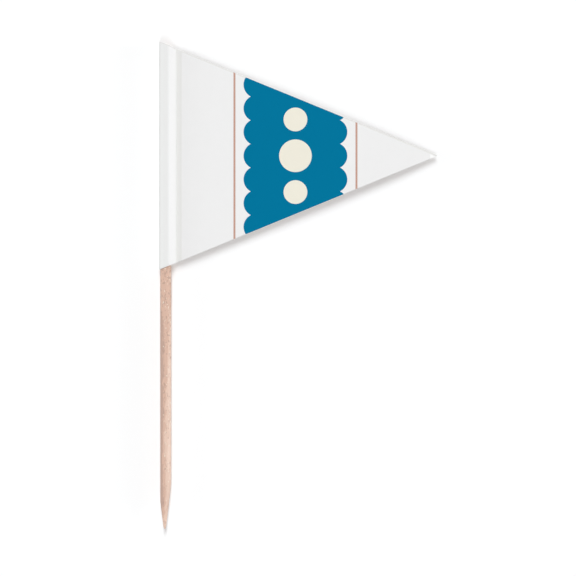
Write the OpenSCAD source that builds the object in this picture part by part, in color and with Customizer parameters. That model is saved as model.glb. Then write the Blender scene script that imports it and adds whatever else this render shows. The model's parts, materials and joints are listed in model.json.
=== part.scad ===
// Flag toothpick: a round wooden pick with a triangular paper flag folded round its blunt end.
// It lies as it comes to rest, on the rolled fold of the paper and on the flag's point.
// X runs from the fold to the flag's point, Y from the pick's tip to its blunt end.

/* [Pick] */
// Length of the pick from its tip to its blunt end
pick_len = 65; // [50:1:100]
// Diameter of the bare shank
pick_d = 1.5; // [1.3:0.05:2.4]
// How much thinner the blunt end is than the shank
head_thinning = 0.05; // [0.02:0.01:0.12]
// Width of the broken edge round the blunt end
head_edge = 0.12; // [0.05:0.01:0.3]
// Length of the sharpened point
point_len = 6.8; // [3:0.1:10]
// Diameter at the very end of the point
tip_d = 0.2; // [0.06:0.02:0.4]
// Roundness of the point, where 1 is a straight cone
point_bulge = 1.7; // [1:0.1:2]

/* [Flag] */
// Height of the flag along the pick
flag_h = 30.8; // [20:0.1:40]
// Width of the flag from its fold to its point
flag_w = 37.6; // [30:0.1:60]
// Thickness of the paper
paper_t = 0.14; // [0.08:0.01:0.2]
// Distance from the pick's side to where the two leaves meet
crease_gap = 0.6; // [0.5:0.05:1.5]
// How far the blunt end lies below the flag's upper corner
head_inset = 0.8; // [0.4:0.1:3]
// Length of shank that keeps its full diameter short of the flag's lower corner
shank_step = 1; // [0.8:0.1:3]

/* [Print] */
// Distance from the fold to the middle of the blue band
band_x = 18.4; // [15:0.1:22]
// Width of the blue band between its two rows of scallops
band_w = 10.4; // [6:0.1:12]
// Diameter of one scallop
scallop_d = 3.6; // [3.3:0.1:4]
// Distance between neighbouring scallops
scallop_pitch = 3.2; // [2.8:0.1:3.2]
// Diameter of the middle disc
disc_d = 4.4; // [2:0.1:5]
// Diameter of the two outer discs
side_disc_d = 3.2; // [1.5:0.1:3.6]
// Distance between neighbouring discs
disc_pitch = 4.9; // [4.4:0.1:5.2]
// Width of the thin stripes beside the band
stripe_w = 0.26; // [0.15:0.01:0.6]
// Distance from the scallops to each stripe
stripe_gap = 1.1; // [0.4:0.1:2]
// Thickness of one layer of ink
ink_t = 0.02; // [0.01:0.005:0.04]

/* [Hidden] */
$fn = 96;
point_steps = 10;

pick_r = pick_d / 2;
head_r = (pick_d - head_thinning) / 2;
tip_r = tip_d / 2;

// Outside radius of the paper where it is rolled round the pick
fold_r = pick_r + paper_t;
// The pick's axis is the line x = 0, and the flag's middle height is y = 0
apex_x = flag_w - fold_r;
head_y = flag_h / 2 - head_inset;
tip_y = head_y - pick_len;
shank_end_y = -flag_h / 2 - shank_step;
half_slope = flag_h / 2 / flag_w;

// The leaves leave the pick along two tangents that meet at the crease
crease_x = pick_r + crease_gap;
leave_angle = asin(pick_r / crease_x);
// How far inside the roll each leaf starts, so that its faces cross the roll's at a clear angle
leaf_tuck = 0.02;
// Where the outer face of a leaf turns flat, one paper thickness off the middle plane
flat_x = crease_x + paper_t * tan(leave_angle / 2);

// The flag leans down until its point touches the surface that the fold lies on
apex_reach = sqrt(pow(apex_x, 2) + pow(paper_t, 2));
droop = asin(fold_r / apex_reach) - atan(paper_t / apex_x);
mid_x = (apex_x * cos(droop) + paper_t * sin(droop) - fold_r) / 2;
mid_y = (flag_h / 2 + tip_y) / 2;

band_left = band_x - fold_r - band_w / 2;
band_right = band_left + band_w;
stripe_reach = scallop_d / 2 + stripe_gap + stripe_w / 2;
scallop_rows = ceil(flag_h / 2 / scallop_pitch);

// Puts a piece from the pick's own frame into the pose at rest
module at_rest() {
    translate([-mid_x, -mid_y, fold_r])
        rotate([0, droop, 0])
            children();
}

// Radius of the point at a share u of its length, from 0 at the tip
function point_r(u) = tip_r + (pick_r - tip_r) * (1 - pow(1 - u, point_bulge));

module pick_profile() {
    point = [for (i = [0 : point_steps]) [point_r(i / point_steps), tip_y + point_len * i / point_steps]];
    head = [
        [pick_r, shank_end_y],
        [head_r, head_y - head_edge],
        [head_r - head_edge, head_y],
        [0, head_y],
    ];
    polygon(concat([[0, tip_y]], point, head));
}

module wooden_pick() {
    color("burlywood")
        at_rest()
            rotate([-90, 0, 0])
                rotate_extrude()
                    pick_profile();
}

// Side view of a rolled shape: a circle of radius r whose two sides run straight on to a far end
module teardrop(r, far_points) {
    start_r = r - leaf_tuck;
    circle(r = r);
    polygon(concat(
        [[start_r * sin(leave_angle), -start_r * cos(leave_angle)]],
        far_points,
        [[start_r * sin(leave_angle), start_r * cos(leave_angle)]]
    ));
}

// Section of the folded sheet: a loop round the pick, then two leaves glued face to face
module sheet_section() {
    difference() {
        teardrop(fold_r, [
            [flat_x, -paper_t],
            [flag_w, -paper_t],
            [flag_w, paper_t],
            [flat_x, paper_t],
        ]);
        teardrop(pick_r, [[crease_x, 0]]);
    }
}

// The flag's triangle, drawn on past the fold so that its two cuts run straight round the roll
module flag_outline() {
    start_x = -2 * fold_r;
    half_h = half_slope * (apex_x - start_x);
    polygon([[apex_x, 0], [start_x, half_h], [start_x, -half_h]]);
}

module paper_flag() {
    color("white")
        at_rest()
            intersection() {
                rotate([90, 0, 0])
                    linear_extrude(2 * flag_h, center = true)
                        sheet_section();
                linear_extrude(4 * fold_r, center = true)
                    flag_outline();
            }
}

// A field of ink on the front leaf, cut off at the flag's edges, with layers of ink below it
module ink(layers_below = 0) {
    at_rest()
        translate([0, 0, paper_t + layers_below * ink_t])
            linear_extrude(ink_t)
                intersection() {
                    flag_outline();
                    children();
                }
}

module scallop_row(x) {
    for (i = [-scallop_rows : scallop_rows])
        translate([x, i * scallop_pitch])
            circle(d = scallop_d);
}

module blue_print() {
    color("#01759d")
        ink() {
            translate([band_left, -flag_h / 2])
                square([band_w, flag_h]);
            scallop_row(band_left);
            scallop_row(band_right);
        }
}

module cream_print() {
    color("#f0ecdd")
        ink(1)
            for (i = [-1 : 1])
                translate([band_left + band_w / 2, i * disc_pitch])
                    circle(d = i == 0 ? disc_d : side_disc_d);
}

module rust_print() {
    color("#c8a091")
        ink()
            for (x = [band_left - stripe_reach, band_right + stripe_reach])
                translate([x - stripe_w / 2, -flag_h / 2])
                    square([stripe_w, flag_h]);
}

wooden_pick();
paper_flag();
blue_print();
cream_print();
rust_print();
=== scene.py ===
"""The flag toothpick's looks: a wooden pick, a folded paper flag and the ink on it, seen from above.

Shapes are worked out in millimetres in the flag's own frame: the pick's axis is the line x = 0, z = 0,
the flag's middle height is y = 0, and its two leaves lie on both sides of z = 0. place() takes them to
the pose at rest.
"""

import json
import math

import bpy
import numpy as np
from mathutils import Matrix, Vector, noise


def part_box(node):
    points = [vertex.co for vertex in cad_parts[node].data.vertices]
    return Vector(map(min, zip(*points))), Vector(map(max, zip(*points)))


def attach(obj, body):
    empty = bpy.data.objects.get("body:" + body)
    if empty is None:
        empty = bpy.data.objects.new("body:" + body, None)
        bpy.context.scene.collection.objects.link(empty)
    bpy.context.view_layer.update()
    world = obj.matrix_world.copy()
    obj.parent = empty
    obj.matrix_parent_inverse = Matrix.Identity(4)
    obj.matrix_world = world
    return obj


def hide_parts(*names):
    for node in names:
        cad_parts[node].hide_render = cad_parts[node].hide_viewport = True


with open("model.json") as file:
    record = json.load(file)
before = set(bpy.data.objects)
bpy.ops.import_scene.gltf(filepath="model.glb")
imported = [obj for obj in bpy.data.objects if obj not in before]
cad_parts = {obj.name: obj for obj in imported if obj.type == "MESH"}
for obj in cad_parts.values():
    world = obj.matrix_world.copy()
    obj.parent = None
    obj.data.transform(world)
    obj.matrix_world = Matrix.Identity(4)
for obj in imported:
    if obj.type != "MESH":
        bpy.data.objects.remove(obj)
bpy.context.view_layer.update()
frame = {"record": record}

MM = 0.001


def srgb(red, green, blue):
    """A colour written as 0 to 255 on screen, as the linear colour that a shader takes."""
    channels = [c / 255 for c in (red, green, blue)]
    linear = [c / 12.92 if c <= 0.04045 else ((c + 0.055) / 1.055) ** 2.4 for c in channels]
    return (*linear, 1.0)


def grey(value):
    """A grey of this linear value."""
    return (value, value, value, 1.0)


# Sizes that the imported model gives
shank = frame["record"]["mounts"][0]
pick_r = shank["dims"]["r_mm"]
axis_x = shank["pos_m"][0] / MM
axis_z = shank["pos_m"][2] / MM
flag_low, flag_high = (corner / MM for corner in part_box("paper_flag"))
pick_low, pick_high = (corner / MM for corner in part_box("wooden_pick"))
fold_r = axis_z
paper_t = fold_r - pick_r
flag_mid_y = (flag_low.y + flag_high.y) / 2
half_h = (flag_high.y - flag_low.y) / 2
tip_y = pick_low.y - flag_mid_y
head_y = pick_high.y - flag_mid_y

# The flag leans down until its point lies on the floor. The upper corner of that point reaches furthest
apex_reach = math.hypot(flag_high.x - axis_x, axis_z - 2 * paper_t)
apex_x = math.sqrt(apex_reach ** 2 - paper_t ** 2)
droop = math.asin(fold_r / apex_reach) - math.atan(paper_t / apex_x)
half_slope = half_h / (apex_x + fold_r)

# The pick, whose point was cut a little off its axis
POINT_LEN = 6.3
POINT_BULGE = 1.12
POINT_SHIFT = -0.13
TIP_R = 0.14
TIP_ROUND = 0.45
TIP_CLOSING = 0.9
HEAD_THINNING = 0.025
HEAD_EDGE = 0.12
SHANK_THINNING = 0.014
SHANK_THINNING_LEN = 16
PICK_COLS = 96
PICK_STEP = 0.3
POINT_ROWS = 60
POINT_CROWDING = 1.4
HEAD_EDGE_ROWS = 4

# The pick's grain. Each layer has its fineness round the pick, its length along it, its share of the
# depth and the place in the noise that it starts from
GRAIN_DEPTH = 0.014
GRAIN_LEFT_AT_TIP = 0.15
GRAIN_LAYERS = (
    (1.6, 11, 0.45, (0, 0)),
    (6.5, 5, 0.4, (7, 3)),
    (14, 1.8, 0.25, (1, 9)),
)

# The fold: a loop round the pick, a ridge beside its top and a crease where the two leaves meet
CREASE_X = pick_r + 0.68
RIDGE_X = 0.48
RIDGE_TILT = 6.0
BEND_SOFT = 0.07
SOFT_PAST_CREASE = 0.6
SOFT_FADE = 0.2

# The leaves: a groove at the crease, a faint second one, a bow and uneven waves
GLUE_T = 0.012
GROOVE_DEPTH = 0.24
GROOVE_FADE = 0.6
SECOND_GROOVE_X = 3.6
SECOND_GROOVE_DEPTH = 0.012
SECOND_GROOVE_W = 0.45
BOW = 0.68
BOW_SKEW = 5
POINT_LIFT = 0.45
POINT_BLUNT = 0.03
WAVE = 0.035
WAVE_LEN = 8
SMALL_WAVE_LEN = 3
SMALL_WAVE_SHARE = 0.4
MISFIT = 0.12

# The sheet's cut edges
CUT_EDGE = 0.03
CUT_EDGE_SHARE = 0.3
CUT_THICKNESS = 0.55
CUT_ROUGH = 0.008
CUT_ROUGH_LEN = 0.3
CUT_ROUGH_STEP = 0.1

# How finely the sheet is divided. Its spacing widens from the one place past the crease to the other
SHEET_ROWS = 80
PROFILE_STEP = 0.02
FOLD_SPACING = 0.07
LEAF_SPACING = 0.34
WIDENS_FROM = 2
WIDENS_TO = 7

# A mesh is shaded smooth where it turns by less than this, in degrees
SMOOTH_ANGLE = 40

# A leaf's thickness, its middle plane and its length, and the radius of the loop's middle line
leaf_t = paper_t - GLUE_T / 2
leaf_mid = paper_t - leaf_t / 2
leaf_len = apex_x - CREASE_X
roll_r = fold_r - leaf_t / 2

# The print
SCALLOP_R = 1.8
SCALLOP_PITCH = 3.2
DISC_R = 2.2
SIDE_DISC_R = 1.6
DISC_PITCH = 4.9
STRIPE_W = 0.26
INK_T = 0.008
INK_SINK = 0.002
INK_MARGIN = 0.04

# How finely the print is divided, and the band's least width in a row
SCALLOP_ROWS = 64
BAND_COLS = 44
BAND_LEAST_W = 0.05
DISC_GRID = 33
STRIPE_ROWS = 160
STRIPE_COLS = 4

# The wood's layers of tone: its own uneven tone, laid darker on the pick's left as painted side shade and
# lighter on its right as painted light. Each has its colour, where its border lies at the flag and further
# down, from -1 at the pick's left side to 1 at its right, the length between the two, and the side that it
# covers
WOOD_TONE = srgb(222, 187, 168)
WOOD_LAYERS_WITH_SIDE_SHADING = (
    (srgb(199, 168, 153), -1.25, -0.38, 8.5, -1),
    (srgb(234, 204, 186), 1.0, 0.04, 20.0, 1),
    # The palest, at the right rim, is painted light where the round side turns from the lamps
    (srgb(242, 214, 197), 1.05, 0.66, 14.0, 1),
)
BORDER_SOFT = 0.07
BORDER_WANDER = 1.1
BORDER_FRAY = 1.3
TIP_BORDER_SHIFT = 0.5
TIP_SHIFT_FROM = 3.4
TIP_SHIFT_TO = 1.6

# The wood's streaks, pores and specks. A stop pairs a noise with the tone there, and a range says at which
# noise the spots begin and at which they are full
WOOD_ROUGHNESS = 0.55
STREAK_ROUGHNESS = 0.2
STREAK_STOPS = ((0.3, grey(0.8)), (0.7, grey(1.0)))
STREAK_SHARE = 0.4
STREAK_DEPTH = 0.012
PORE_TONE = srgb(186, 154, 138)
PORE_SHARE = 0.7
PORE_DEPTH = 0.006
PORE_RANGE = (0.82, 0.85)
PORES_MORE_AT_FLAG = 0.1
PORES_MORE_LEN = 20
PORE_PATCHES = 0.3
# Pale specks of the wood's own, which gather on the lit right side as painted glints
SPECK_AND_GLINT_TONE = srgb(248, 240, 226)
SPECK_SHARE = 0.85
SPECK_RANGE = (0.7, 0.73)
# Painted glints: how much more the specks gather on the right side
GLINTS_MORE_RIGHT = 0.05

# The paper's painted shades and painted highlight. A range says at which distance each begins and at which
# it is
# full: painted shade past the pick's axis on the loop, painted shade from the middle of the crease's shade,
# a painted highlight back from the flag's point and painted shade in from the upper cut
PAPER_TONE = srgb(240, 240, 240)
# Painted shade on the loop of paper round the pick
LOOP_SHADE_TONE = srgb(236, 237, 236)
LOOP_SHADE_RANGE = (0.45, 0.2)
# Painted shade in the crease
CREASE_SHADE_TONE = srgb(231, 231, 229)
CREASE_SHADE_RANGE = (0.5, 0.28)
CREASE_SHADE_PAST = 0.34
# A painted highlight at the flag's point
POINT_HIGHLIGHT_TONE = grey(0.99)
POINT_HIGHLIGHT_RANGE = (1.05, 0.9)
# Painted shade along the upper cut
CUT_SHADE_TONE = srgb(234, 234, 232)
CUT_SHADE_RANGE = (0.22, 0.1)
CLOUD_SHARE = 0.02
FIBRE_SHARE = 0.014
FIBRE_DEPTH = 0.004
INKED_FIBRE_DEPTH = 0.003

# The inks, each with its colour and how patchy it is
INKS = {
    "blue": (srgb(0, 118, 158), 0.05),
    "cream": (srgb(242, 238, 223), 0.02),
    "rust": (srgb(200, 160, 145), 0.06),
}

# The camera, and its frame's width and middle at the height of the pick's axis
FRAME_W = 77.8
FRAME_MID = (-1.395, -0.345)
LENS = 100.0
SENSOR_W = 36.0
CLIP_START = 10.0

# The floor: its colour as it is seen, its colour for the light that it throws back, and a glow that is
# only seen
FLOOR_HALF = 600.0
FLOOR_SEEN = (0.887, 0.936, 0.96, 1.0)
FLOOR_BOUNCE = grey(0.6)
FLOOR_GLOW = (0.156, 0.113, 0.094, 1.0)

# The light: the sky's share, and lamps that are each a row of suns, one over the other. A lamp has its
# share of a level surface's light, its compass angle from +X and its suns' heights, in degrees
SKY_SHARE = 0.225
SUN_WIDTH = 18
SUN_DISTANCE = 400.0
LAMPS = {
    "key": (0.435, 90, (37, 48, 59)),
    "fill": (0.22, 270, (50, 66)),
    "point_side": (0.058, 0, (10,)),
    "fold_side": (0.046, 180, (10,)),
}

# Numbers of the Mix node's sockets where it mixes colours
MIX_AMOUNT = 0
MIX_A = 6
MIX_B = 7
MIX_RESULT = 2


def place(points):
    """Takes points in the flag's own frame to the row's frame at rest, in metres."""
    points = np.asarray(points, float)
    x, y, z = points[..., 0], points[..., 1], points[..., 2]
    c, s = math.cos(droop), math.sin(droop)
    return np.stack([axis_x + x * c + z * s, flag_mid_y + y, axis_z - x * s + z * c], -1) * MM


def local_x(world_x, z):
    """The flag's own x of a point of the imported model, at height z over the plane between the leaves."""
    return (world_x - axis_x - z * math.sin(droop)) / math.cos(droop)


def ripple(x, y, length, seed):
    """Smooth noise from -1 to 1 with features about length millimetres long."""
    return noise.noise(Vector((x / length, y / length, seed)))


def grid_quads(rows, cols, start=0, flip=False, closed=False):
    """Quads over a grid of points stored row by row, whose columns may close into a ring."""
    quads = []
    for i in range(rows - 1):
        here = start + i * cols
        above = here + cols
        for j in range(cols if closed else cols - 1):
            k = (j + 1) % cols
            quad = (here + j, here + k, above + k, above + j)
            quads.append(quad[::-1] if flip else quad)
    return quads


def rim_quads(rows, cols, upper, lower):
    """Quads that join the borders of two grids of the same size, one above the other."""
    border = [(0, j) for j in range(cols)]
    border += [(i, cols - 1) for i in range(1, rows)]
    border += [(rows - 1, j) for j in range(cols - 2, -1, -1)]
    border += [(i, 0) for i in range(rows - 2, 0, -1)]
    index = [i * cols + j for i, j in border]
    pairs = zip(index, index[1:] + index[:1])
    return [(upper + a, lower + a, lower + b, upper + b) for a, b in pairs]


def add_piece(name, points, faces, material, node, slot):
    """Adds a mesh in the row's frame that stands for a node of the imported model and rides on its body."""
    mesh = bpy.data.meshes.new(name)
    mesh.from_pydata([tuple(p) for p in points], [], faces)
    mesh.validate()
    mesh.materials.append(material)
    piece = bpy.data.objects.new(name, mesh)
    bpy.context.scene.collection.objects.link(piece)
    bpy.context.view_layer.objects.active = piece
    piece.select_set(True)
    bpy.ops.object.mode_set(mode="EDIT")
    bpy.ops.mesh.select_all(action="SELECT")
    bpy.ops.mesh.normals_make_consistent(inside=False)
    bpy.ops.object.mode_set(mode="OBJECT")
    bpy.ops.object.shade_smooth_by_angle(angle=math.radians(SMOOTH_ANGLE))
    piece.select_set(False)
    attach(piece, "root")
    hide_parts(node)


# The wooden pick


def pick_radius(y):
    """Radius at height y before the point is cut: a shank that thins a little towards both ends."""
    if y > head_y - HEAD_EDGE:
        return pick_r - HEAD_THINNING - (y - head_y + HEAD_EDGE)
    if y > -half_h:
        return pick_r - HEAD_THINNING * (y + half_h) / (head_y + half_h)
    return pick_r - SHANK_THINNING * min(1, (-half_h - y) / SHANK_THINNING_LEN)


def pick_sides(y):
    """Where the pick's left and right sides lie at height y."""
    radius = pick_radius(y)
    share = (y - tip_y) / POINT_LEN
    if share >= 1:
        return -radius, radius
    cut = TIP_R + (radius - POINT_SHIFT - TIP_R) * (1 - (1 - share) ** POINT_BULGE)
    cut *= math.sqrt(1 - max(0, 1 - (y - tip_y) / TIP_ROUND) ** 2 * TIP_CLOSING)
    return max(-radius, POINT_SHIFT - cut), min(radius, POINT_SHIFT + cut)


def grain(angle, y):
    """Depth of the wood's surface under the turned shape: long shallow furrows between raised fibres."""
    around = Vector((math.cos(angle), math.sin(angle), 0))
    depth = 0.5
    for fineness, length, share, start in GRAIN_LAYERS:
        depth += share * noise.noise(around * fineness + Vector((*start, y / length)))
    return GRAIN_DEPTH * depth


def pick_heights():
    """Heights of the rings of points, closer together on the sharpened end."""
    point = tip_y + POINT_LEN * np.linspace(0, 1, POINT_ROWS) ** POINT_CROWDING
    edge_y = head_y - HEAD_EDGE
    count = int((edge_y - point[-1]) / PICK_STEP)
    body = np.linspace(point[-1], edge_y, count + 1)[1:]
    edge = np.linspace(edge_y, head_y, HEAD_EDGE_ROWS + 1)[1:]
    return [*point, *body, *edge]


def pick_ring(y):
    """A ring of points round the pick at height y."""
    left, right = pick_sides(y)
    radius = (right - left) / 2
    middle = (right + left) / 2
    ring = []
    for j in range(PICK_COLS):
        angle = 2 * math.pi * j / PICK_COLS
        r = radius - grain(angle, y) * min(1, radius / pick_r + GRAIN_LEFT_AT_TIP)
        ring.append((middle + r * math.cos(angle), y, r * math.sin(angle)))
    return ring


def make_pick(material):
    """The pick, as a stack of rings that a fan of triangles closes at each end."""
    heights = pick_heights()
    points = [point for y in heights for point in pick_ring(y)]
    faces = grid_quads(len(heights), PICK_COLS, closed=True)
    for row in (0, len(heights) - 1):
        ring = [row * PICK_COLS + j for j in range(PICK_COLS)]
        cap = len(points)
        points.append(tuple(np.mean([points[k] for k in ring], axis=0)))
        faces += [(ring[j], ring[(j + 1) % PICK_COLS], cap) for j in range(PICK_COLS)]
    add_piece("pick", place(points), faces, material, "wooden_pick", "birch_wood")


# The folded sheet


def level(x):
    """Height of the plane between the leaves: a pressed groove at the crease, then a bow to the point."""
    past = np.maximum(x - CREASE_X, 0)
    share = past / leaf_len
    groove = -GROOVE_DEPTH * np.exp(-past / GROOVE_FADE)
    second = -SECOND_GROOVE_DEPTH * np.exp(-((x - SECOND_GROOVE_X) / SECOND_GROOVE_W) ** 2)
    bow = BOW * share * (1 - share ** BOW_SKEW)
    return groove + second + bow + POINT_LIFT * share ** 2


def waviness(x, y):
    """Uneven height that comes on past the crease and dies away at the flag's point."""
    share = (x - CREASE_X) / leaf_len
    if share <= 0 or share >= 1:
        return 0.0
    waves = ripple(x, y, WAVE_LEN, seed=2.5) + SMALL_WAVE_SHARE * ripple(x, y, SMALL_WAVE_LEN, seed=6.5)
    return WAVE * 4 * share * (1 - share) * waves


def tangent_angle(target):
    """Angle at which a straight run to the back leaf leaves the loop's middle line under the pick."""
    return math.atan2(target[1], target[0]) - math.acos(roll_r / math.hypot(*target))


def straight_run(start, end):
    """Points on a straight run of the profile, without its two ends."""
    share = np.linspace(0, 1, int(np.linalg.norm(end - start) / PROFILE_STEP))[1:-1, None]
    return start + (end - start) * share


def soften(line):
    """Rounds the profile's bends as far as a little past the crease."""
    reach = int(3 * BEND_SOFT / PROFILE_STEP)
    kernel = np.exp(-((np.arange(-reach, reach + 1) * PROFILE_STEP / BEND_SOFT) ** 2) / 2)
    kernel /= kernel.sum()
    padded = np.pad(line, ((reach, reach), (0, 0)), mode="edge")
    soft = np.stack([np.convolve(padded[:, k], kernel, mode="valid") for k in (0, 1)], -1)
    weight = np.clip((CREASE_X + SOFT_PAST_CREASE - line[:, 0]) / SOFT_FADE, 0, 1)[:, None]
    return line + (soft - line) * weight


def sheet_profile():
    """Middle line of the paper seen along the pick, from the front leaf's point round the fold and back."""
    leaf_x = np.arange(apex_x - POINT_BLUNT / 2 / half_slope, CREASE_X, -PROFILE_STEP)
    front = np.stack([leaf_x, level(leaf_x) + leaf_mid], -1)
    back = np.stack([leaf_x, level(leaf_x) - leaf_mid], -1)[::-1]
    start = math.pi / 2 + math.radians(RIDGE_TILT)
    end = tangent_angle(back[0]) + 2 * math.pi
    angles = np.linspace(start, end, int(roll_r * (end - start) / PROFILE_STEP))
    roll = roll_r * np.stack([np.cos(angles), np.sin(angles)], -1)
    rise = (RIDGE_X - roll[0, 0]) * math.tan(math.radians(RIDGE_TILT))
    ridge = np.array([RIDGE_X, roll[0, 1] + rise])
    to_ridge = straight_run(front[-1], ridge)
    to_roll = straight_run(ridge, roll[0])
    to_back = straight_run(roll[-1], back[0])
    return soften(np.concatenate([front, to_ridge, [ridge], to_roll, roll, to_back, back]))


def stations(line):
    """Points along the profile and their outward normals, closer together round the fold."""
    steps = np.linalg.norm(np.diff(line, axis=0), axis=1)
    widens = [CREASE_X + WIDENS_FROM, CREASE_X + WIDENS_TO]
    spacing = np.interp(line[1:, 0], widens, [FOLD_SPACING, LEAF_SPACING])
    count = np.concatenate([[0], np.cumsum(steps / spacing)])
    wanted = np.linspace(0, count[-1], int(count[-1]) + 1)
    points = np.stack([np.interp(wanted, count, line[:, k]) for k in (0, 1)], -1)
    along = np.gradient(points, axis=0)
    along /= np.linalg.norm(along, axis=1)[:, None]
    return points, np.stack([along[:, 1], -along[:, 0]], -1)


def row_heights(reach):
    """Heights of a station's rows from -reach to reach, with one more row just inside each cut edge."""
    edge = min(CUT_EDGE, CUT_EDGE_SHARE * reach)
    inner = np.linspace(-reach + edge, reach - edge, SHEET_ROWS)
    return np.concatenate([[-reach], inner, [reach]])


def make_sheet(material):
    """The paper, as a grid on each of its two faces, joined along the cut edges."""
    points, normals = stations(sheet_profile())
    turned = int(np.argmin(points[:, 0]))
    outer, inner = [], []
    for i, ((x, z), (nx, nz)) in enumerate(zip(points, normals)):
        slip = MISFIT * max(0, (x - CREASE_X) / leaf_len) if i > turned else 0
        for j, y in enumerate(row_heights(half_slope * (apex_x - x))):
            at_cut = j in (0, SHEET_ROWS + 1)
            thick = leaf_t / 2 * (CUT_THICKNESS if at_cut else 1)
            rough = CUT_ROUGH * ripple(i * CUT_ROUGH_STEP, y, CUT_ROUGH_LEN, seed=4.5) if at_cut else 0
            lift = waviness(x, y)
            outer.append((x + nx * thick, y + slip + rough, z + nz * thick + lift))
            inner.append((x - nx * thick, y + slip + rough, z - nz * thick + lift))
    rows, cols = len(points), SHEET_ROWS + 2
    faces = grid_quads(rows, cols)
    faces += grid_quads(rows, cols, len(outer), flip=True)
    faces += rim_quads(rows, cols, 0, len(outer))
    add_piece("flag_sheet", place(outer + inner), faces, material, "paper_flag", "white_paper")


# The print


def flag_edge(y):
    """How far the front leaf reaches at height y, less the margin that the ink keeps from the cut."""
    return apex_x - abs(y) / half_slope - INK_MARGIN


def ink_points(plan, height):
    """A grid of plan points laid on the front leaf, at a height over its face."""
    return [(x, y, float(level(x)) + waviness(x, y) + paper_t + height) for row in plan for x, y in row]


def ink_films(plans, layers):
    """Closed films of ink over grids of plan points, with their upper face that many layers high."""
    points, faces = [], []
    for plan in plans:
        rows, cols = len(plan), len(plan[0])
        start = len(points)
        points += ink_points(plan, INK_T * layers)
        points += ink_points(plan, INK_T * (layers - 1) - INK_SINK)
        faces += grid_quads(rows, cols, start)
        faces += grid_quads(rows, cols, start + rows * cols, flip=True)
        faces += rim_quads(rows, cols, start, start + rows * cols)
    return place(points), faces


def scallop(y):
    """How far a row of scallops stands out of the band's side at height y."""
    off = y - SCALLOP_PITCH * round(y / SCALLOP_PITCH)
    return math.sqrt(SCALLOP_R ** 2 - off ** 2)


def band_plan(left, right):
    """The blue band between its two rows of scallops, cut off by the flag's edges."""
    plan = []
    step = SCALLOP_PITCH / SCALLOP_ROWS
    count = int(half_h / step)
    for i in range(-count, count + 1):
        y = i * step
        low = left - scallop(y)
        high = min(right + scallop(y), flag_edge(y))
        if high - low > BAND_LEAST_W:
            plan.append([(x, y) for x in np.linspace(low, high, BAND_COLS)])
    return plan


def disc_plan(middle_x, middle_y, radius):
    """A disc as a square grid pulled round."""
    plan = []
    for v in np.linspace(-1, 1, DISC_GRID):
        row = []
        for u in np.linspace(-1, 1, DISC_GRID):
            x = u * math.sqrt(1 - v * v / 2)
            y = v * math.sqrt(1 - u * u / 2)
            row.append((middle_x + radius * x, middle_y + radius * y))
        plan.append(row)
    return plan


def stripe_plan(left):
    """A thin upright stripe from one cut edge of the flag to the other."""
    plan = []
    for v in np.linspace(-1, 1, STRIPE_ROWS):
        row = []
        for x in np.linspace(left, left + STRIPE_W, STRIPE_COLS):
            row.append((x, v * half_slope * (apex_x - INK_MARGIN - x)))
        plan.append(row)
    return plan


def make_print():
    """A blue band with scalloped sides, three cream discs on it and a rust stripe on each side."""
    blue_low, blue_high = (corner.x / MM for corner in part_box("blue_print"))
    left = local_x(blue_low, paper_t) + SCALLOP_R
    right = local_x(blue_high, paper_t) - SCALLOP_R
    rust_low, rust_high = (corner.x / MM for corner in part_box("rust_print"))
    middle = (left + right) / 2
    band = [band_plan(left, right)]
    discs = [disc_plan(middle, i * DISC_PITCH, DISC_R if i == 0 else SIDE_DISC_R) for i in (-1, 0, 1)]
    stripes = [stripe_plan(local_x(x, paper_t)) for x in (rust_low, rust_high - STRIPE_W)]
    for name, plans, layers, ink in (
        ("blue_band", band, 1, "blue"),
        ("cream_discs", discs, 2, "cream"),
        ("rust_stripes", stripes, 1, "rust"),
    ):
        add_piece(name, *ink_films(plans, layers), ink_material(ink), f"{ink}_print", f"{ink}_ink")


# Materials


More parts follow.
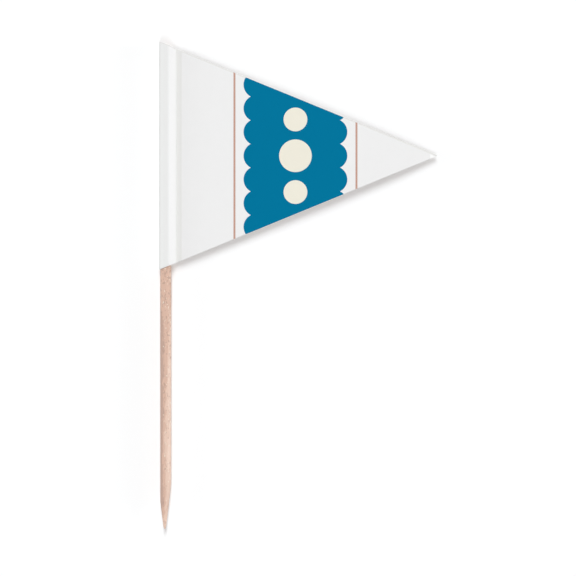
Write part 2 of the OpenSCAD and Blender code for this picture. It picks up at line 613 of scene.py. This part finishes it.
class Shader:
    """Builds a material's nodes. A value may be a number, a colour or another node's output."""

    def __init__(self, name):
        self.material = bpy.data.materials.new(name)
        self.material.use_nodes = True
        self.tree = self.material.node_tree
        self.surface = self.tree.nodes["Principled BSDF"]
        coords = self.tree.nodes.new("ShaderNodeTexCoord").outputs["Object"]
        in_mm = {0: coords, "Scale": 1 / MM}
        self.place = self.add("ShaderNodeVectorMath", in_mm, operation="SCALE").outputs[0]

    def add(self, kind, values=None, **settings):
        """A new node of this kind, with its settings and the values of its inputs."""
        made = self.tree.nodes.new(kind)
        for key, value in settings.items():
            setattr(made, key, value)
        for key, value in (values or {}).items():
            self.put(made.inputs[key], value)
        return made

    def put(self, socket, value):
        """Links another node's output to a socket, or sets the socket to a number or a colour."""
        if isinstance(value, bpy.types.NodeSocket):
            self.tree.links.new(value, socket)
        else:
            socket.default_value = value

    def position(self):
        """Where a point of the surface lies along X and along Y, in millimetres."""
        parts = self.add("ShaderNodeSeparateXYZ", {"Vector": self.place})
        return parts.outputs["X"], parts.outputs["Y"]

    def noise(self, scale, detail=2.0, stretch=(1, 1, 1), shift=(0, 0, 0)):
        """Noise with about scale features in a millimetre, drawn out along an axis by a stretch under 1."""
        spot = self.add("ShaderNodeMapping", {"Vector": self.place, "Scale": stretch, "Location": shift})
        made = self.add("ShaderNodeTexNoise", {"Vector": spot.outputs[0], "Scale": scale, "Detail": detail})
        return made.outputs["Fac"]

    def math(self, operation, a, b=0.0, c=0.0):
        """The result of one operation on up to three values."""
        return self.add("ShaderNodeMath", {0: a, 1: b, 2: c}, operation=operation).outputs[0]

    def fade(self, value, start, end, low=0.0, high=1.0):
        """Runs evenly from low to high as the value goes from start to end, and is level outside them."""
        sockets = {"Value": value, "From Min": start, "From Max": end, "To Min": low, "To Max": high}
        return self.add("ShaderNodeMapRange", sockets).outputs[0]

    def ramp(self, value, stops):
        """A colour read off between stops, which are pairs of a position and a colour."""
        made = self.add("ShaderNodeValToRGB", {"Fac": value})
        elements = made.color_ramp.elements
        while len(elements) < len(stops):
            elements.new(1.0)
        for element, (position, colour) in zip(elements, stops):
            element.position = position
            element.color = colour
        return made.outputs["Color"]

    def mix(self, amount, a, b, blend="MIX"):
        """Colour a, with that amount of colour b blended in."""
        made = self.add("ShaderNodeMix", data_type="RGBA", blend_type=blend)
        self.put(made.inputs[MIX_AMOUNT], amount)
        self.put(made.inputs[MIX_A], a)
        self.put(made.inputs[MIX_B], b)
        return made.outputs[MIX_RESULT]

    def bump(self, height, depth_mm, before=None):
        """Bump whose height runs from 0 to depth_mm millimetres."""
        made = self.add("ShaderNodeBump", {"Height": height, "Strength": 1.0, "Distance": depth_mm * MM})
        if before is not None:
            self.put(made.inputs["Normal"], before)
        return made.outputs["Normal"]

    def finish(self, **sockets):
        """Sets the surface's sockets, in whose names _ stands for a space, and gives the material."""
        for name, value in sockets.items():
            self.put(self.surface.inputs[name.replace("_", " ")], value)
        return self.material


def wood_tone_and_side_shading(s, across, height):
    """The wood's layers of tone, painted shade on the left and painted light on the right, whose ragged
    borders shift along the pick and move left at its tip.
    """
    wander = s.math("SUBTRACT", s.noise(scale=0.8, stretch=(1, 0.25, 1)), 0.5)
    frayed = s.math("SUBTRACT", s.noise(scale=3.6, detail=3, stretch=(1, 0.3, 1)), 0.5)
    ragged = s.math("ADD", across, s.math("MULTIPLY", wander, BORDER_WANDER))
    ragged = s.math("ADD", ragged, s.math("MULTIPLY", frayed, BORDER_FRAY))
    from_y = pick_low.y + TIP_SHIFT_FROM
    to_y = pick_low.y + TIP_SHIFT_TO
    ragged = s.math("ADD", ragged, s.fade(height, from_y, to_y, high=TIP_BORDER_SHIFT))
    tone = WOOD_TONE
    for colour, at_flag, further_down, length, side in WOOD_LAYERS_WITH_SIDE_SHADING:
        border = s.fade(height, flag_low.y, flag_low.y - length, at_flag, further_down)
        beyond = s.math("MULTIPLY", s.math("SUBTRACT", ragged, border), side)
        tone = s.mix(s.fade(beyond, -BORDER_SOFT, BORDER_SOFT), tone, colour)
    return tone


def wood_pores(s, height):
    """1 in the wood's pores, which are more near the flag and in patches, and 0 between them."""
    crowd = s.fade(height, flag_low.y, flag_low.y - PORES_MORE_LEN, PORES_MORE_AT_FLAG, 0.0)
    patches = s.noise(scale=0.5, detail=1, shift=(4, 1, 7))
    crowd = s.math("MULTIPLY_ADD", patches, PORE_PATCHES, crowd)
    spots = s.noise(scale=5.5, detail=1, stretch=(1, 0.42, 1), shift=(3, 8, 1))
    return s.fade(s.math("ADD", crowd, spots), *PORE_RANGE)


def wood_specks_and_glints(s, across):
    """1 in the wood's pale specks, which also paint glints of light where they gather on the right side,
    and 0 between them.
    """
    spots = s.noise(scale=5.5, detail=1, stretch=(1, 0.5, 1), shift=(9, 2, 5))
    return s.fade(s.math("MULTIPLY_ADD", across, GLINTS_MORE_RIGHT, spots), *SPECK_RANGE)


def wood_material():
    """Pale birch in uneven layers of tone that also paint side shade and light, with fine streaks, dark
    pores and pale specks that also paint glints.
    """
    s = Shader("birch_wood")
    along, height = s.position()
    across = s.math("DIVIDE", s.math("SUBTRACT", along, axis_x), pick_r)
    streak = s.noise(scale=11, stretch=(1, 0.05, 1))
    pore = wood_pores(s, height)
    speck = wood_specks_and_glints(s, across)
    tone = wood_tone_and_side_shading(s, across, height)
    tone = s.mix(STREAK_SHARE, tone, s.ramp(streak, STREAK_STOPS), "MULTIPLY")
    tone = s.mix(s.math("MULTIPLY", pore, PORE_SHARE), tone, PORE_TONE)
    tone = s.mix(s.math("MULTIPLY", speck, SPECK_SHARE), tone, SPECK_AND_GLINT_TONE)
    rough = s.math("MULTIPLY_ADD", streak, STREAK_ROUGHNESS, WOOD_ROUGHNESS)
    normal = s.bump(streak, STREAK_DEPTH)
    normal = s.bump(s.math("SUBTRACT", 1.0, pore), PORE_DEPTH, normal)
    return s.finish(Base_Color=tone, Roughness=rough, Normal=normal, Specular_IOR_Level=0.3)


def paper_fibre(s):
    """Felted paper: a faint cloudy tone, and fibres for its fine uneven face."""
    cloud = s.noise(scale=0.8, detail=3)
    fibre = s.noise(scale=9, detail=4, stretch=(1, 0.7, 1))
    tone = s.math("MULTIPLY_ADD", cloud, CLOUD_SHARE, 1 - CLOUD_SHARE)
    tone = s.math("ADD", tone, s.math("MULTIPLY_ADD", fibre, FIBRE_SHARE, -FIBRE_SHARE / 2))
    return tone, fibre


def paper_material():
    """White coated paper, with painted shade on the loop, in the crease and at the upper cut, and a painted
    highlight at the point.
    """
    s = Shader("white_paper")
    tone, fibre = paper_fibre(s)
    along, height = s.position()
    past_axis = s.math("SUBTRACT", along, axis_x)
    from_crease = s.math("ABSOLUTE", s.math("SUBTRACT", past_axis, CREASE_X + CREASE_SHADE_PAST))
    from_point = s.math("SUBTRACT", flag_high.x, along)
    reach = s.math("MULTIPLY", from_point, half_slope)
    from_cut = s.math("SUBTRACT", reach, s.math("SUBTRACT", height, flag_mid_y))
    colour = PAPER_TONE
    for distance, fade_range, shade in (
        # Painted shade on the loop round the pick
        (past_axis, LOOP_SHADE_RANGE, LOOP_SHADE_TONE),
        # Painted shade in the crease
        (from_crease, CREASE_SHADE_RANGE, CREASE_SHADE_TONE),
        # A painted highlight at the flag's point
        (from_point, POINT_HIGHLIGHT_RANGE, POINT_HIGHLIGHT_TONE),
        # Painted shade along the upper cut
        (from_cut, CUT_SHADE_RANGE, CUT_SHADE_TONE),
    ):
        colour = s.mix(s.fade(distance, *fade_range), colour, shade)
    colour = s.mix(1.0, colour, tone, "MULTIPLY")
    normal = s.bump(fibre, FIBRE_DEPTH)
    return s.finish(Base_Color=colour, Roughness=0.55, Normal=normal, Specular_IOR_Level=0.35)


def ink_material(ink):
    """Flat spot ink on the paper, a little uneven where it sank in."""
    colour, patchy = INKS[ink]
    s = Shader(f"{ink}_ink")
    tone, fibre = paper_fibre(s)
    cover = s.noise(scale=6, detail=4)
    shade = s.math("ADD", tone, s.math("MULTIPLY_ADD", cover, patchy, -patchy / 2))
    mixed = s.mix(1.0, colour, shade, "MULTIPLY")
    normal = s.bump(fibre, INKED_FIBRE_DEPTH)
    return s.finish(Base_Color=mixed, Roughness=0.6, Normal=normal, Specular_IOR_Level=0.02)


# The stage: floor, light and camera


def seen_directly(tree):
    """1 for rays from the camera, in reflections and through clear things, and 0 for the light itself."""
    path = tree.nodes.new("ShaderNodeLightPath")
    total = path.outputs["Is Camera Ray"]
    for name in ("Is Glossy Ray", "Is Transmission Ray"):
        made = tree.nodes.new("ShaderNodeMath")
        made.operation = "MAXIMUM"
        tree.links.new(total, made.inputs[0])
        tree.links.new(path.outputs[name], made.inputs[1])
        total = made.outputs[0]
    return total


def floor_material():
    """A pale surface that looks white where the light reaches it and keeps the object's shadow."""
    material = bpy.data.materials.new("floor")
    material.use_nodes = True
    tree = material.node_tree
    surface = tree.nodes["Principled BSDF"]
    surface.inputs["Roughness"].default_value = 1.0
    surface.inputs["Specular IOR Level"].default_value = 0.0
    surface.inputs["Emission Color"].default_value = FLOOR_GLOW
    seen = seen_directly(tree)
    colour = tree.nodes.new("ShaderNodeMix")
    colour.data_type = "RGBA"
    colour.inputs[MIX_A].default_value = FLOOR_BOUNCE
    colour.inputs[MIX_B].default_value = FLOOR_SEEN
    tree.links.new(seen, colour.inputs[MIX_AMOUNT])
    tree.links.new(colour.outputs[MIX_RESULT], surface.inputs["Base Color"])
    tree.links.new(seen, surface.inputs["Emission Strength"])
    return material


def make_floor():
    """A large level square under the object."""
    size = FLOOR_HALF * MM
    corners = [(-size, -size, 0), (size, -size, 0), (size, size, 0), (-size, size, 0)]
    mesh = bpy.data.meshes.new("floor")
    mesh.from_pydata(corners, [], [(0, 1, 2, 3)])
    mesh.materials.append(floor_material())
    floor = bpy.data.objects.new("floor", mesh)
    bpy.context.scene.collection.objects.link(floor)


def make_sky():
    """A sky that lights evenly and is plain white where it is seen."""
    world = bpy.data.worlds.new("sky")
    bpy.context.scene.world = world
    world.use_nodes = True
    tree = world.node_tree
    background = tree.nodes["Background"]
    background.inputs["Color"].default_value = grey(1.0)
    blend = tree.nodes.new("ShaderNodeMapRange")
    blend.inputs["To Min"].default_value = SKY_SHARE
    tree.links.new(seen_directly(tree), blend.inputs["Value"])
    tree.links.new(blend.outputs[0], background.inputs["Strength"])


def add_sun(name, share, compass, height):
    """A sun that gives a level surface this share of its light."""
    rise = math.sin(math.radians(height))
    flat = math.cos(math.radians(height))
    along_x = math.cos(math.radians(compass))
    along_y = math.sin(math.radians(compass))
    towards = Vector((flat * along_x, flat * along_y, rise))
    lamp = bpy.data.lights.new(name, "SUN")
    lamp.energy = math.pi * share / rise
    lamp.angle = math.radians(SUN_WIDTH)
    sun = bpy.data.objects.new(name, lamp)
    sun.rotation_euler = towards.to_track_quat("Z", "Y").to_euler()
    sun.location = towards * SUN_DISTANCE * MM
    bpy.context.scene.collection.objects.link(sun)


def make_lamps():
    """Two lamps in line with the pick, and two weak low ones from its sides."""
    for name, (share, compass, heights) in LAMPS.items():
        for height in heights:
            add_sun(f"{name}_{height}", share / len(heights), compass, height)


def make_camera():
    """A camera that looks straight down."""
    data = bpy.data.cameras.new("camera")
    data.sensor_width = SENSOR_W
    data.lens = LENS
    data.clip_start = CLIP_START * MM
    camera = bpy.data.objects.new("camera", data)
    distance = FRAME_W * LENS / SENSOR_W
    camera.location = (FRAME_MID[0] * MM, FRAME_MID[1] * MM, (axis_z + distance) * MM)
    bpy.context.scene.collection.objects.link(camera)
    bpy.context.scene.camera = camera


make_pick(wood_material())
make_sheet(paper_material())
make_print()
make_floor()
make_sky()
make_lamps()
make_camera()
bpy.context.scene.view_settings.view_transform = "Standard"
